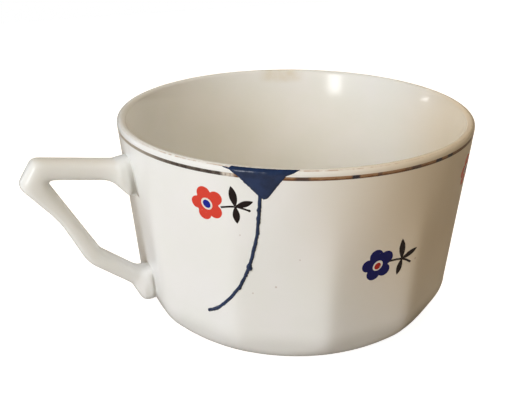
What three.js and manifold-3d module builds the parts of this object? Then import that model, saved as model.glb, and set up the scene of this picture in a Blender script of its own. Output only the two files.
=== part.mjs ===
// Low wide mug with a twelve-panelled body and one angular handle.
// Its rim is chipped and cracked, and chip and crack are filled with blue resin.
import * as THREE from 'three';
import { mergeVertices } from 'three/addons/utils/BufferGeometryUtils.js';
import Module from 'manifold-3d';

// Body sizes, in millimetres, with heights from the surface that the mug stands on
const RIM_RADIUS = 52;
const CUP_HEIGHT = 60.4;
const SHOULDER_RADIUS = 47.95;
const SHOULDER_HEIGHT = 13.6;
const FOOT_RADIUS = 35;
const FOOT_RING_WIDTH = 4.5;
const FOOT_RECESS = 1.8;
const LIP_THICKNESS = 2.4;
const WALL_THICKNESS = 3.4;
const FLOOR_THICKNESS = 3.6;
const FLOOR_ROUNDING = 12;

// Flat panels around the body, which fade out towards the rim and the foot
const PANEL_COUNT = 12;
const PANEL_CORNER_POWER = 80;
const PANEL_TOP_DROP = 4.4;
const PANEL_FULL_DROP = 36;
const PANEL_FOOT_START = 1.5;
const PANEL_FOOT_FULL = 8;

// Handle: reaches stand out from the rim or the shoulder, drops hang from the rim's height
const HANDLE_WIDTH = 6.8;
const HANDLE_EDGE_ROUNDING = 2.2;
const HANDLE_FACE_ROUNDING = 1.5;
const HANDLE_ROOT_DEPTH = 5;
const TOP_BAR_DROP = 8.65;
const TOP_BAR_RISE = 3.85;
const TOP_BAR_THICKNESS = 5.1;
const TOP_CORNER_REACH = 24.3;
const OUTER_CORNER_REACH = 28.7;
const OUTER_CORNER_DROP = 11.6;
const DIAGONAL_TOP_THICKNESS = 6.8;
const DIAGONAL_FOOT_THICKNESS = 4.6;
const DIAGONAL_BOW = 2.2;
const DIAGONAL_BOW_ROUNDING = 30;
const ELBOW_REACH = 16.25;
const ELBOW_HEIGHT = 23.3;
const LOWER_BAR_THICKNESS = 4.6;
const LOWER_WEB_HEIGHT = 18.9;
const LOWER_JOINT_REACH = 4.9;
const LOWER_JOINT_HEIGHT = 14.6;
const PAD_REACH = 1.8;
const PAD_HEIGHT = 8.2;
const UPPER_WEB_DROP = 19.2;
const CORNER_ROUNDING = 2.6;
const JOINT_ROUNDING = 4;

// Chip flaked off the rim's outer face, as offsets from its middle and drops below the rim
const CHIP_ANGLE = -35;
const CHIP_LEFT = 8.5;
const CHIP_RIGHT = 8.6;
const CHIP_DROP = 7.9;
const CHIP_DEPTH = 1.75;
const CHIP_TIP_LEFT = 1.2;
const CHIP_TIP_RIGHT = 1.8;
const CHIP_TIP_RISE = 1.1;
const CHIP_LEDGE_OFFSET = 5.1;
const CHIP_LEDGE_DROP = 1.3;
const CHIP_LEDGE_FACE = 1.4;

// Crack below the chip, as distances along the wall to the side and drops below the rim
const CRACK_PATH = [
  [-0.3, 6],
  [-0.7, 10.3],
  [-1.4, 16],
  [-2.6, 22.8],
  [-4, 28.4],
  [-6.6, 34.2],
  [-10.2, 39.2],
  [-13.4, 42.3],
  [-16.4, 43.9],
];
const BEAD_RADIUS = 0.45;
const FILL_PROUD = 0.2;
const FILL_CLEARANCE = 0.3;

// Fineness of the round forms
const AROUND_SEGMENTS = 72;
const WALL_RINGS = 10;
const ARC_STEPS = 8;
const OUTLINE_ARC_STEPS = 6;
const BEVEL_STEPS = 4;
const BEAD_STEPS = 36;
const BEAD_SIDES = 8;

const wasm = await Module();
wasm.setup();

const { degToRad, lerp, smoothstep } = THREE.MathUtils;

// A closed geometry as a solid that can be joined and cut
function solidOf(geometry) {
  const bare = geometry.clone();
  bare.deleteAttribute('normal');
  bare.deleteAttribute('uv');
  const merged = mergeVertices(bare);
  const index = merged.index.array;
  const triVerts = [];
  for (let i = 0; i < index.length; i += 3) {
    const [a, b, c] = index.slice(i, i + 3);
    if (a !== b && b !== c && c !== a) triVerts.push(a, b, c);
  }
  return new wasm.Manifold(
    new wasm.Mesh({
      numProp: 3,
      vertProperties: merged.attributes.position.array,
      triVerts: new Uint32Array(triVerts),
    }),
  );
}

// A solid as a named mesh
function meshOf(name, solid, material) {
  const { vertProperties, triVerts } = solid.getMesh();
  const geometry = new THREE.BufferGeometry();
  geometry.setAttribute('position', new THREE.BufferAttribute(vertProperties, 3));
  geometry.setIndex(new THREE.BufferAttribute(triVerts, 1));
  geometry.computeVertexNormals();
  const mesh = new THREE.Mesh(geometry, material);
  mesh.name = name;
  return mesh;
}

// Points of a quarter ellipse around a centre, from one angle in degrees to another
function arcPoints(x, y, xRadius, yRadius, from, to) {
  const arc = new THREE.EllipseCurve(x, y, xRadius, yRadius, degToRad(from), degToRad(to), to < from);
  return arc.getPoints(ARC_STEPS);
}

// Radius of the outer wall at a height, to the corners of the panels
function cornerRadius(height) {
  if (height >= SHOULDER_HEIGHT) {
    const share = (height - SHOULDER_HEIGHT) / (CUP_HEIGHT - SHOULDER_HEIGHT);
    return lerp(SHOULDER_RADIUS, RIM_RADIUS, share);
  }
  const drop = (SHOULDER_HEIGHT - height) / SHOULDER_HEIGHT;
  return FOOT_RADIUS + (SHOULDER_RADIUS - FOOT_RADIUS) * Math.sqrt(Math.max(0, 1 - drop * drop));
}

// Radius of the soft-cornered polygon of panels, around flats at radius 1
function panelPolygon(angle) {
  let sum = 0;
  for (let i = 0; i < PANEL_COUNT; i += 1) {
    const facing = Math.cos(angle - (i * 2 * Math.PI) / PANEL_COUNT);
    sum += Math.max(0, facing) ** PANEL_CORNER_POWER;
  }
  return sum ** (-1 / PANEL_CORNER_POWER);
}

// Factor by which the panels change the outer radius at an angle and a height
function panelFactor(angle, height) {
  const fullHeight = CUP_HEIGHT - PANEL_FULL_DROP;
  const fromTop = 1 - smoothstep(height, fullHeight, CUP_HEIGHT - PANEL_TOP_DROP);
  const fromFoot = smoothstep(height, PANEL_FOOT_START, PANEL_FOOT_FULL);
  const sunk = panelPolygon(angle) / panelPolygon(Math.PI / PANEL_COUNT) - 1;
  return 1 + fromTop * fromFoot * sunk;
}

// Point on the outer wall: angle 0 faces -Y and positive angles turn towards +X
function wallPoint(angle, height) {
  const radius = cornerRadius(height) * panelFactor(angle, height);
  return new THREE.Vector3(radius * Math.sin(angle), -radius * Math.cos(angle), height);
}

// Outer half of the profile: recess, foot ring, rounded base and wall up to the lip
function outerProfile(proud) {
  const recessRadius = FOOT_RADIUS - FOOT_RING_WIDTH;
  const lipHeight = CUP_HEIGHT - LIP_THICKNESS / 2;
  const points = [
    new THREE.Vector2(0, FOOT_RECESS),
    new THREE.Vector2(recessRadius - FOOT_RECESS, FOOT_RECESS),
    new THREE.Vector2(recessRadius, 0),
  ];
  const baseWidth = SHOULDER_RADIUS - FOOT_RADIUS;
  const base = arcPoints(FOOT_RADIUS, SHOULDER_HEIGHT, baseWidth, SHOULDER_HEIGHT, -90, 0);
  for (const point of base) {
    points.push(new THREE.Vector2(point.x + proud, point.y));
  }
  for (let i = 1; i <= WALL_RINGS; i += 1) {
    const height = lerp(SHOULDER_HEIGHT, lipHeight, i / WALL_RINGS);
    points.push(new THREE.Vector2(cornerRadius(height) + proud, height));
  }
  return points;
}

// Inner half of the profile: lip, inner wall, rounding and floor
function innerProfile(proud) {
  const lipRadius = LIP_THICKNESS / 2;
  const lipHeight = CUP_HEIGHT - lipRadius;
  const lipCentre = cornerRadius(lipHeight) - lipRadius;
  const lipReach = lipRadius + proud;
  const wallRadius = SHOULDER_RADIUS - WALL_THICKNESS - proud;
  const floorHeight = FOOT_RECESS + FLOOR_THICKNESS;
  const roundingCentre = wallRadius - FLOOR_ROUNDING;
  const wallFoot = floorHeight + FLOOR_ROUNDING;
  return [
    ...arcPoints(lipCentre, lipHeight, lipReach, lipReach, 0, 180).slice(1),
    ...arcPoints(roundingCentre, wallFoot, FLOOR_ROUNDING, FLOOR_ROUNDING, 0, -90),
    new THREE.Vector2(0, floorHeight),
  ];
}

// The profile turned round the upright axis, with panels on its outer points
function turned(profile, outerCount) {
  const geometry = new THREE.LatheGeometry(profile, AROUND_SEGMENTS);
  const position = geometry.attributes.position;
  for (let column = 0; column <= AROUND_SEGMENTS; column += 1) {
    const angle = (column * 2 * Math.PI) / AROUND_SEGMENTS;
    for (let row = 0; row < outerCount; row += 1) {
      const i = column * profile.length + row;
      const factor = panelFactor(angle, profile[row].y);
      position.setX(i, position.getX(i) * factor);
      position.setZ(i, position.getZ(i) * factor);
    }
  }
  return solidOf(geometry.rotateX(Math.PI / 2));
}

// The body, its walls swollen by the given amount
function bodySolid(proud) {
  const outer = outerProfile(proud);
  return turned([...outer, ...innerProfile(proud)], outer.length);
}

// The space inside the body up to the rim, widened to the middle of the wall
function cavitySolid() {
  const inner = innerProfile(-WALL_THICKNESS / 2);
  const mouth = new THREE.Vector2(0, CUP_HEIGHT);
  return turned([mouth, ...inner.slice(ARC_STEPS - 1)].reverse(), 0);
}

// Closed outline through corners given as [x, y, rounding]
function roundedShape(corners) {
  const shape = new THREE.Shape();
  corners.forEach(([x, y, rounding], i) => {
    const corner = new THREE.Vector2(x, y);
    const before = new THREE.Vector2(...corners.at(i - 1));
    const after = new THREE.Vector2(...corners[(i + 1) % corners.length]);
    const toBefore = before.sub(corner).normalize();
    const toAfter = after.sub(corner).normalize();
    const halfAngle = Math.acos(THREE.MathUtils.clamp(toBefore.dot(toAfter), -1, 1)) / 2;
    const cut = rounding / Math.tan(halfAngle);
    const start = corner.clone().addScaledVector(toBefore, cut);
    const end = corner.clone().addScaledVector(toAfter, cut);
    if (i === 0) shape.moveTo(start.x, start.y);
    else shape.lineTo(start.x, start.y);
    if (rounding > 0) shape.quadraticCurveTo(x, y, end.x, end.y);
  });
  shape.closePath();
  return shape;
}

// Point beside the line from one point to another, at a distance to its left
function besideLine([x0, y0], [x1, y1], along, distance) {
  const length = Math.hypot(x1 - x0, y1 - y0);
  const x = lerp(x0, x1, along) - ((y1 - y0) / length) * distance;
  const y = lerp(y0, y1, along) + ((x1 - x0) / length) * distance;
  return [x, y];
}

// Where the line through a and b crosses the line through c and d
function crossing(a, b, c, d) {
  const [ux, uy] = [b[0] - a[0], b[1] - a[1]];
  const [vx, vy] = [d[0] - c[0], d[1] - c[1]];
  const along = ((c[0] - a[0]) * vy - (c[1] - a[1]) * vx) / (ux * vy - uy * vx);
  return [a[0] + ux * along, a[1] + uy * along];
}

// Side outline of the handle, x outwards from the axis and y up, with its roots inside the wall
function handleShape() {
  const topHeight = CUP_HEIGHT - TOP_BAR_DROP;
  const topWall = cornerRadius(topHeight);
  const topRoot = [topWall - HANDLE_ROOT_DEPTH, topHeight];
  const topCorner = [RIM_RADIUS + TOP_CORNER_REACH, topHeight + TOP_BAR_RISE];
  const outerCorner = [RIM_RADIUS + OUTER_CORNER_REACH, CUP_HEIGHT - OUTER_CORNER_DROP];
  const elbow = [SHOULDER_RADIUS + ELBOW_REACH, ELBOW_HEIGHT];
  const bow = besideLine(elbow, outerCorner, 0.5, DIAGONAL_BOW);
  const joint = [SHOULDER_RADIUS + LOWER_JOINT_REACH, LOWER_JOINT_HEIGHT];
  const pad = [SHOULDER_RADIUS + PAD_REACH, PAD_HEIGHT];
  const padRoot = [cornerRadius(PAD_HEIGHT) - HANDLE_ROOT_DEPTH, PAD_HEIGHT];

  const lowerFrom = besideLine(joint, elbow, 0, LOWER_BAR_THICKNESS);
  const lowerTo = besideLine(joint, elbow, 1, LOWER_BAR_THICKNESS);
  const diagonalFrom = besideLine(elbow, outerCorner, 0, DIAGONAL_FOOT_THICKNESS);
  const diagonalTo = besideLine(elbow, outerCorner, 1, DIAGONAL_TOP_THICKNESS);
  const undersideFrom = besideLine(topRoot, topCorner, 0, -TOP_BAR_THICKNESS);
  const undersideTo = besideLine(topRoot, topCorner, 1, -TOP_BAR_THICKNESS);
  const innerElbow = crossing(lowerFrom, lowerTo, diagonalFrom, diagonalTo);
  const innerCorner = crossing(diagonalFrom, diagonalTo, undersideFrom, undersideTo);

  const webHeight = CUP_HEIGHT - UPPER_WEB_DROP;
  const webFoot = [cornerRadius(webHeight), webHeight];
  const webRoot = [webFoot[0] - HANDLE_ROOT_DEPTH, webFoot[1] - HANDLE_ROOT_DEPTH];
  const webTop = crossing(undersideFrom, undersideTo, webRoot, webFoot);
  const lowerRoot = [SHOULDER_RADIUS - HANDLE_ROOT_DEPTH, LOWER_WEB_HEIGHT];
  const lowerWeb = crossing(lowerFrom, lowerTo, lowerRoot, [SHOULDER_RADIUS, LOWER_WEB_HEIGHT]);

  return roundedShape([
    [...padRoot, 0],
    [...pad, CORNER_ROUNDING],
    [...joint, JOINT_ROUNDING],
    [...elbow, CORNER_ROUNDING],
    [...bow, DIAGONAL_BOW_ROUNDING],
    [...outerCorner, CORNER_ROUNDING],
    [...topCorner, CORNER_ROUNDING],
    [...topRoot, 0],
    [...webRoot, 0],
    [...webTop, JOINT_ROUNDING],
    [...innerCorner, HANDLE_FACE_ROUNDING],
    [...innerElbow, JOINT_ROUNDING],
    [...lowerWeb, JOINT_ROUNDING],
    [...lowerRoot, 0],
  ]);
}

// The handle, standing out along -X
function handleSolid() {
  const depth = HANDLE_WIDTH - 2 * HANDLE_EDGE_ROUNDING;
  const geometry = new THREE.ExtrudeGeometry(handleShape(), {
    depth,
    curveSegments: OUTLINE_ARC_STEPS,
    bevelThickness: HANDLE_EDGE_ROUNDING,
    bevelSize: HANDLE_FACE_ROUNDING,
    bevelOffset: -HANDLE_FACE_ROUNDING,
    bevelSegments: BEVEL_STEPS,
  });
  geometry.translate(0, 0, -depth / 2);
  return solidOf(geometry.rotateX(Math.PI / 2).rotateZ(Math.PI));
}

// Outline of the chip, x to the right along the rim and y up, drawn in by a gap
function chipShape(gap) {
  const above = CUP_HEIGHT + LIP_THICKNESS;
  const tipHeight = CUP_HEIGHT - CHIP_DROP;
  const ledgeHeight = CUP_HEIGHT - CHIP_LEDGE_DROP;
  const corners = [
    [-CHIP_LEFT, above],
    [-CHIP_LEFT, CUP_HEIGHT],
    [-CHIP_TIP_LEFT, tipHeight + CHIP_TIP_RISE],
    [0, tipHeight],
    [CHIP_TIP_RIGHT, tipHeight + CHIP_TIP_RISE],
    [CHIP_LEDGE_OFFSET, ledgeHeight - CHIP_LEDGE_FACE],
    [CHIP_LEDGE_OFFSET, ledgeHeight],
    [CHIP_RIGHT, CUP_HEIGHT],
    [CHIP_RIGHT, above],
  ];
  const shape = new THREE.Shape();
  corners.forEach((corner, i) => {
    const before = corners.at(i - 1);
    const after = corners[(i + 1) % corners.length];
    const point = crossing(
      besideLine(before, corner, 0, gap),
      besideLine(before, corner, 1, gap),
      besideLine(corner, after, 0, gap),
      besideLine(corner, after, 1, gap),
    );
    if (i === 0) shape.moveTo(...point);
    else shape.lineTo(...point);
  });
  shape.closePath();
  return shape;
}

// The chip as a block from its flat back out past the wall, drawn in by a gap
function chipSolid(gap) {
  const depth = CHIP_DEPTH + LIP_THICKNESS - gap;
  const geometry = new THREE.ExtrudeGeometry(chipShape(gap), { depth, bevelEnabled: false });
  geometry.translate(0, 0, RIM_RADIUS - CHIP_DEPTH + gap);
  return solidOf(geometry.rotateX(Math.PI / 2).rotateZ(degToRad(CHIP_ANGLE)));
}

// A round tube along the crack, half sunk in the wall, with a round far end
function crackSolid(radius) {
  const points = CRACK_PATH.map(([side, drop]) => {
    const height = CUP_HEIGHT - drop;
    return wallPoint(degToRad(CHIP_ANGLE) + side / cornerRadius(height), height);
  });
  const section = new THREE.Shape().absarc(0, 0, radius, 0, 2 * Math.PI);
  const tube = new THREE.ExtrudeGeometry(section, {
    steps: BEAD_STEPS,
    curveSegments: BEAD_SIDES,
    extrudePath: new THREE.CatmullRomCurve3(points),
  });
  const end = new THREE.SphereGeometry(radius, BEAD_SIDES, BEAD_SIDES);
  end.translate(...points.at(-1));
  return solidOf(tube).add(solidOf(end));
}

// The fired cup, with its chip and the groove of its crack
function cupSolid() {
  const handle = handleSolid().subtract(cavitySolid());
  const whole = bodySolid(0).add(handle);
  return whole.subtract(chipSolid(0)).subtract(crackSolid(BEAD_RADIUS + FILL_CLEARANCE));
}

// The blue fill: the patch in the chip, slightly proud of the wall, and the bead along the crack
function fillSolid() {
  const patch = bodySolid(FILL_PROUD).intersect(chipSolid(FILL_CLEARANCE));
  return patch.add(crackSolid(BEAD_RADIUS));
}

const glaze = new THREE.MeshStandardMaterial({ color: 0xe9e4d8, roughness: 0.2, metalness: 0 });
const blueResin = new THREE.MeshStandardMaterial({ color: 0x2b3e69, roughness: 0.25, metalness: 0 });

const mug = new THREE.Group();
mug.name = 'filled_cracked_mug';
mug.add(meshOf('cup', cupSolid(), glaze));
mug.add(meshOf('blue_repair_fill', fillSolid(), blueResin));

// The middle of the whole outline, handle included, stands over the origin
const extent = new THREE.Box3().setFromObject(mug);
mug.position.x = -(extent.min.x + extent.max.x) / 2;

export default mug;
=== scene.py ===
"""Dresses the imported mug: cream glaze, printed sprigs, a worn gilt line and blue fill in its damage."""

import logging
import math
from collections.abc import Sequence
from dataclasses import dataclass, replace
from enum import Enum

import bpy
import numpy as np
from mathutils import Matrix, Vector, noise
from mathutils.geometry import delaunay_2d_cdt

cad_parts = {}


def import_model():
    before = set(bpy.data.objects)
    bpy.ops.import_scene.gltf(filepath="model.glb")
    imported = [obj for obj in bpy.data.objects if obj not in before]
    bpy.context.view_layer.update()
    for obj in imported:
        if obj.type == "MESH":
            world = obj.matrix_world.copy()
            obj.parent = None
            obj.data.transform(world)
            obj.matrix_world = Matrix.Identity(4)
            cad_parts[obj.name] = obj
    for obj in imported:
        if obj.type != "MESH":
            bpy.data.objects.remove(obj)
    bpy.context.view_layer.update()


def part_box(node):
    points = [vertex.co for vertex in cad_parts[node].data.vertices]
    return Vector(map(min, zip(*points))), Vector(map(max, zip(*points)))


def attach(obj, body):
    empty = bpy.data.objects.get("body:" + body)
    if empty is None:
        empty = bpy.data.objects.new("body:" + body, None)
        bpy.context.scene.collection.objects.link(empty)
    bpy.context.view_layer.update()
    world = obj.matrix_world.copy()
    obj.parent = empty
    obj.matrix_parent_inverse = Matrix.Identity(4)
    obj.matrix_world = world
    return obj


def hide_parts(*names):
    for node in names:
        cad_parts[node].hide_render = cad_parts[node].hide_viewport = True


LOG = logging.getLogger("mug")
MM = 0.001
BODY = "root"
PHOTO_WIDTH_PX = 531
NOISE_SEED = 0.0
WELD_M = 1e-6
SAME_PLACE_MM = 1e-4
ROW_SHIFT = 0.25

Point = tuple[float, float]
Colour = tuple[float, float, float]
Socket = bpy.types.NodeSocket
Material = bpy.types.Material
Mesh = bpy.types.Mesh
Piece = bpy.types.Object
Feed = Socket | Material | float | int | bool | str | tuple
Feeds = dict[str | int, Feed]
Rail = Sequence[tuple[Vector, float]]


class Slot(Enum):
    """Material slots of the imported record."""

    GLAZE = "cream_glaze"
    RESIN = "blue_resin"
    PRINT = "printed_enamel"
    GILT = "worn_gilt"


def linear(colour: Colour) -> tuple[float, float, float, float]:
    """Turns a display colour into the linear colour of a shader socket.

    Args:
        colour: Red, green and blue from 0 to 255, as a screen shows them.

    Returns:
        The linear colour with full alpha.
    """
    parts = [c / 255 for c in colour]
    curve = [p / 12.92 if p <= 0.04045 else ((p + 0.055) / 1.055) ** 2.4 for p in parts]
    return (*curve, 1.0)


def smooth_share(value: float, low: float, high: float) -> float:
    """Maps a value smoothly to 0 at the low end and 1 at the high end, held beyond them."""
    share = min(max((value - low) / (high - low), 0), 1)
    return share * share * (3 - 2 * share)


def turn_direction(degrees: float) -> Vector:
    """Gives the level direction at an angle round the upright axis, from the front (-Y) towards +X."""
    angle = math.radians(degrees)
    return Vector((math.sin(angle), -math.cos(angle), 0))


def raised_direction(turn: float, height: float) -> Vector:
    """Gives the direction at an angle round the upright axis and an angle up, in degrees."""
    up = math.radians(height)
    return turn_direction(turn) * math.cos(up) + Vector((0, 0, math.sin(up)))


def linked(name: str, data: bpy.types.ID) -> Piece:
    """Adds an object for a mesh, a lamp or a camera to the scene and returns it."""
    holder = bpy.data.objects.new(name, data)
    bpy.context.scene.collection.objects.link(holder)
    return holder


class Board:
    """Adds and links the nodes of one tree."""

    def __init__(self, tree: bpy.types.NodeTree) -> None:
        """Keeps the tree that the nodes go into."""
        self.tree = tree

    def node(self, kind: str, feeds: Feeds | None = None, **settings: object) -> bpy.types.Node:
        """Adds a node.

        Args:
            kind: The node's type name.
            feeds: Values or sockets for its inputs, by name or number.
            settings: The node's own properties.

        Returns:
            The new node.
        """
        made = self.tree.nodes.new(kind)
        for name, value in settings.items():
            setattr(made, name, value)
        for socket, value in (feeds or {}).items():
            self.feed(made.inputs[socket], value)
        return made

    def out(self, kind: str, feeds: Feeds | None = None, **settings: object) -> Socket:
        """Adds a node and returns its first output."""
        return self.node(kind, feeds, **settings).outputs[0]

    def feed(self, socket: Socket, value: Feed) -> None:
        """Links a socket to an input, or sets the input's own value."""
        if isinstance(value, Socket):
            self.tree.links.new(value, socket)
        else:
            socket.default_value = value

    def math(self, operation: str, *feeds: Feed) -> Socket:
        """Adds a math node and returns its result."""
        return self.out("ShaderNodeMath", dict(enumerate(feeds)), operation=operation)

    def plus(self, first: Feed, second: Feed) -> Socket:
        """Adds a sum."""
        return self.math("ADD", first, second)

    def minus(self, first: Feed, second: Feed) -> Socket:
        """Adds a difference."""
        return self.math("SUBTRACT", first, second)

    def times(self, first: Feed, second: Feed) -> Socket:
        """Adds a product."""
        return self.math("MULTIPLY", first, second)

    def over(self, first: Feed, second: Feed) -> Socket:
        """Adds a quotient."""
        return self.math("DIVIDE", first, second)

    def rest(self, share: Feed) -> Socket:
        """Adds what a share leaves of 1."""
        return self.minus(1, share)

    def split(self, vector: Feed) -> Sequence[Socket]:
        """Splits a vector into its three parts."""
        return self.node("ShaderNodeSeparateXYZ", {0: vector}).outputs

    def ramp(self, value: Feed, low: Feed, high: Feed) -> Socket:
        """Maps a value smoothly to 0 at the low end and 1 at the high end, held beyond them."""
        feeds = {"Value": value, "From Min": low, "From Max": high}
        return self.out("ShaderNodeMapRange", feeds, interpolation_type="SMOOTHSTEP")


class ShapeTree(Board):
    """A Geometry Nodes tree with named inputs, which turns a start mesh into a finished piece."""

    def __init__(self, name: str, sizes: dict[str, float | int]) -> None:
        """Opens the tree.

        Args:
            name: The tree's name.
            sizes: Its named inputs with the values that they get.
        """
        super().__init__(bpy.data.node_groups.new(name, "GeometryNodeTree"))
        self.sizes = sizes
        face = self.tree.interface
        face.new_socket("Geometry", in_out="INPUT", socket_type="NodeSocketGeometry")
        for label, value in sizes.items():
            kind = "NodeSocketInt" if isinstance(value, int) else "NodeSocketFloat"
            face.new_socket(label, in_out="INPUT", socket_type=kind)
        face.new_socket("Material", in_out="INPUT", socket_type="NodeSocketMaterial")
        face.new_socket("Geometry", in_out="OUTPUT", socket_type="NodeSocketGeometry")
        self.given = self.node("NodeGroupInput").outputs

    def close(self, geometry: Socket) -> None:
        """Ends the tree with real geometry in its material."""
        real = self.out("GeometryNodeRealizeInstances", {"Geometry": geometry})
        feeds = {"Geometry": real, "Material": self.given["Material"]}
        dressed = self.out("GeometryNodeSetMaterial", feeds)
        self.node("NodeGroupOutput", {"Geometry": dressed})

    def grow(self, name: str, start: Mesh, material: Material) -> Piece:
        """Runs the tree on a start mesh.

        Args:
            name: The piece's name.
            start: The mesh that the tree begins with.
            material: The piece's material.

        Returns:
            An object that holds the result as a plain mesh.
        """
        holder = linked(name, start)
        modifier = holder.modifiers.new("shape", "NODES")
        modifier.node_group = self.tree
        values = {**self.sizes, "Material": material}
        for item in self.tree.interface.items_tree:
            if item.item_type == "SOCKET" and item.in_out == "INPUT" and item.name in values:
                modifier[item.identifier] = values[item.name]
        return settled(holder)


def settled(holder: Piece) -> Piece:
    """Turns an object's modifiers into a plain mesh.

    Args:
        holder: The object with modifiers.

    Returns:
        The same object, without them.
    """
    graph = bpy.context.evaluated_depsgraph_get()
    mesh = bpy.data.meshes.new_from_object(holder.evaluated_get(graph), depsgraph=graph)
    holder.modifiers.clear()
    holder.data = mesh
    return holder


def strip_mesh(name: str, points: Sequence[Sequence[float]]) -> Mesh:
    """Makes an open line of points.

    Args:
        name: The mesh's name.
        points: The places in millimetres, three numbers each.

    Returns:
        A mesh of edges, in metres.
    """
    mesh = bpy.data.meshes.new(name)
    edges = [(i, i + 1) for i in range(len(points) - 1)]
    mesh.from_pydata([Vector(p) * MM for p in points], edges, [])
    return mesh


@dataclass(frozen=True)
class Wall:
    """The turned and panelled wall, in millimetres, with the sizes of the solid that it stands for."""

    axis_x: float
    height: float = 60.4
    rim_radius: float = 52.0
    shoulder_radius: float = 47.95
    shoulder_height: float = 13.6
    foot_radius: float = 35.0
    foot_ring_width: float = 4.5
    foot_recess: float = 1.8
    lip_radius: float = 1.2
    thickness: float = 3.4
    floor_thickness: float = 3.6
    floor_rounding: float = 12.0
    flare: float = 0.85
    flare_depth: float = 11.0
    panels: int = 12
    corner_power: float = 80.0
    panel_top_drop: float = 4.4
    panel_full_drop: float = 36.0
    panel_foot_start: float = 1.5
    panel_foot_full: float = 8.0

    @property
    def slope(self) -> float:
        """The wall's lean from upright, in radians."""
        return math.atan2(self.rim_radius - self.shoulder_radius, self.height - self.shoulder_height)

    @property
    def lip_centre(self) -> Point:
        """Radius and height of the middle of the rounded lip."""
        height = self.height - self.lip_radius
        return self.radius(height) - self.lip_radius / math.cos(self.slope), height

    @property
    def lip_length(self) -> float:
        """Length over the lip from its crest to the straight wall outside."""
        return self.lip_radius * (math.pi / 2 + self.slope)

    def radius(self, height: float) -> float:
        """Outer radius at the panel corners."""
        if height >= self.shoulder_height:
            return self.shoulder_radius + (height - self.shoulder_height) * math.tan(self.slope)
        drop = 1 - height / self.shoulder_height
        reach = self.shoulder_radius - self.foot_radius
        return self.foot_radius + reach * math.sqrt(1 - drop * drop)

    def panel_radius(self, height: float) -> float:
        """Outer radius at the middle of a panel."""
        fade = smooth_share(height, self.height - self.panel_full_drop, self.height - self.panel_top_drop)
        weight = (1 - fade) * smooth_share(height, self.panel_foot_start, self.panel_foot_full)
        return self.radius(height) * (1 - weight * (1 - math.cos(math.pi / self.panels)))

    def along(self, drop: float) -> float:
        """Length down the outside from the crest of the lip to a place that is the drop below it."""
        turned = min(max(1 - drop / self.lip_radius, -math.sin(self.slope)), 1)
        straight = drop - self.lip_radius * (1 + math.sin(self.slope))
        return self.lip_radius * math.acos(turned) + max(straight, 0) / math.cos(self.slope)

    def place(self, turn: float, radius: float, height: float) -> Vector:
        """Gives a place at an angle, a radius and a height round the mug's axis."""
        return turn_direction(turn) * radius + Vector((self.axis_x, 0, height))

    def panel_sizes(self) -> dict[str, float | int]:
        """The named inputs of a tree that follows the panels."""
        return {
            "Panels": self.panels,
            "Corner Power": self.corner_power,
            "Fade Full": (self.height - self.panel_full_drop) * MM,
            "Fade Top": (self.height - self.panel_top_drop) * MM,
            "Foot Start": self.panel_foot_start * MM,
            "Foot Full": self.panel_foot_full * MM,
            "Axis X": self.axis_x * MM,
        }

    def lip_sizes(self) -> dict[str, float]:
        """The named inputs of a tree that wraps things over the lip and the wall."""
        radius, height = self.lip_centre
        return {
            "Lip Radius": self.lip_radius * MM,
            "Lip Centre Radius": radius * MM,
            "Lip Centre Height": height * MM,
            "Lip Length": self.lip_length * MM,
            "Slope": self.slope,
        }


class WallTree(ShapeTree):
    """A tree whose result follows the panelled wall."""

    def panel_factor(self, angle: Feed, height: Feed) -> Socket:
        """Adds the rule that sinks the panels between their corners.

        Args:
            angle: Angle round the axis, in radians.
            height: Height in metres.

        Returns:
            The factor on the radius at the panel corners.
        """
        given = self.given
        half = self.over(math.pi, given["Panels"])
        power = given["Corner Power"]
        off = self.math("PINGPONG", angle, half)
        beyond = self.minus(self.times(half, 2), off)
        near = self.math("POWER", self.math("COSINE", off), power)
        far = self.math("POWER", self.math("COSINE", beyond), power)
        corner = self.times(self.math("POWER", self.math("COSINE", half), power), 2)
        share = self.over(corner, self.plus(near, far))
        flat = self.math("POWER", share, self.over(1, power))
        above = self.rest(self.ramp(height, given["Fade Full"], given["Fade Top"]))
        weight = self.times(above, self.ramp(height, given["Foot Start"], given["Foot Full"]))
        return self.math("MULTIPLY_ADD", self.minus(flat, 1), weight, 1)

    def place(self, radius: Feed, angle: Feed, height: Feed) -> Socket:
        """Gives the place at a radius, an angle and a height round the mug's axis."""
        across = self.times(radius, self.math("SINE", angle))
        feeds = {
            "X": self.plus(across, self.given["Axis X"]),
            "Y": self.times(self.times(radius, self.math("COSINE", angle)), -1),
            "Z": height,
        }
        return self.out("ShaderNodeCombineXYZ", feeds)

    def moved(self, geometry: Feed, position: Feed) -> Socket:
        """Moves each point of a shape to its new place."""
        feeds = {"Geometry": geometry, "Position": position}
        return self.out("GeometryNodeSetPosition", feeds)

    def on_wall(self, turn: Feed) -> Socket:
        """Gives the place on the wall of each point of a flat shape.

        Args:
            turn: Angle of the flat shape's middle, in radians.

        Returns:
            The place, from the point's side way, its length down from the lip's crest and its stand-off.
        """
        given = self.given
        side, down, off = self.split(self.out("GeometryNodeInputPosition"))
        lean = self.over(self.math("MINIMUM", down, given["Lip Length"]), given["Lip Radius"])
        straight = self.math("MAXIMUM", self.minus(down, given["Lip Length"]), 0)
        reach = self.plus(given["Lip Radius"], off)
        out = self.math("MULTIPLY_ADD", reach, self.math("SINE", lean), given["Lip Centre Radius"])
        up = self.math("MULTIPLY_ADD", reach, self.math("COSINE", lean), given["Lip Centre Height"])
        inward = self.times(straight, self.math("SINE", given["Slope"]))
        fall = self.times(straight, self.math("COSINE", given["Slope"]))
        radius = self.minus(out, inward)
        height = self.minus(up, fall)
        angle = self.plus(self.over(side, radius), turn)
        factor = self.panel_factor(angle, height)
        return self.place(self.times(radius, factor), angle, height)


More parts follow.
